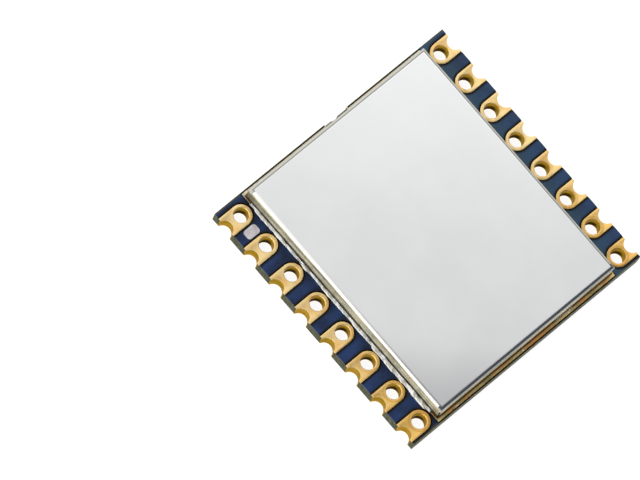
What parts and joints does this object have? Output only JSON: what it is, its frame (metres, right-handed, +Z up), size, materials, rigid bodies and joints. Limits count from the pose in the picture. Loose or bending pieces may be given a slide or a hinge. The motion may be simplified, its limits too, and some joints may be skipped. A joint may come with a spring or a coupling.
{
  "type": "LoRa radio module",
  "caption": "Surface-mount LoRa radio module with castellated, plated through-hole terminals along two edges and a folded metal shield can over its circuit.",
  "frame": {"origin": "middle of the 15.7 mm square outline, on the plane of the terminals' undersides, which the module rests on", "axes": "+Z up out of the shield can; the two rows of terminals run along Y, one at each end of X; the printed mark is at the -X, +Y corner, between the first and second terminals"},
  "size_m": [0.0156, 0.0156, 0.0025],
  "materials": {
    "laminate": "satin",
    "top_mask": "gloss",
    "underside_mask": "gloss",
    "copper": "satin",
    "gold_plating": "satin",
    "solder": "gloss",
    "chip_moulding": "matte",
    "tinned_leads": "satin",
    "crystal_ceramic": "matte",
    "lid_plating": "satin",
    "capacitor_ceramic": "matte",
    "resistor_glaze": "satin",
    "inductor_ceramic": "matte",
    "tinned_ends": "satin",
    "can_sheet": "satin",
    "white_ink": "matte",
    "pale_ink": "matte"
  },
  "bodies": {
    "root": {"circuit_board": "laminate", "top_solder_mask": "top_mask", "bottom_solder_mask": "underside_mask", "ground_plane": "copper", "signal_traces": "copper", "signal_vias": "copper", "ground_vias": "copper", "ground_ring": "gold_plating", "castellated_terminal_01": "gold_plating", "castellated_terminal_02": "gold_plating", "castellated_terminal_03": "gold_plating", "castellated_terminal_04": "gold_plating", "castellated_terminal_05": "gold_plating", "castellated_terminal_06": "gold_plating", "castellated_terminal_07": "gold_plating", "castellated_terminal_08": "gold_plating", "castellated_terminal_09": "gold_plating", "castellated_terminal_10": "gold_plating", "castellated_terminal_11": "gold_plating", "castellated_terminal_12": "gold_plating", "castellated_terminal_13": "gold_plating", "castellated_terminal_14": "gold_plating", "castellated_terminal_15": "gold_plating", "castellated_terminal_16": "gold_plating", "component_lands": "gold_plating", "component_solder": "solder", "radio_chip": "chip_moulding", "chip_leads": "tinned_leads", "crystal_base": "crystal_ceramic", "crystal_lid": "lid_plating", "antenna_switch": "chip_moulding", "switch_leads": "tinned_leads", "capacitor_bodies": "capacitor_ceramic", "capacitor_ends": "tinned_ends", "resistor_bodies": "resistor_glaze", "resistor_ends": "tinned_ends", "inductor_bodies": "inductor_ceramic", "inductor_ends": "tinned_ends", "shield_can": "can_sheet", "can_solder": "solder", "tab_solder": "solder", "first_terminal_mark": "white_ink", "underside_table": "pale_ink"}
  },
  "joints": []
}
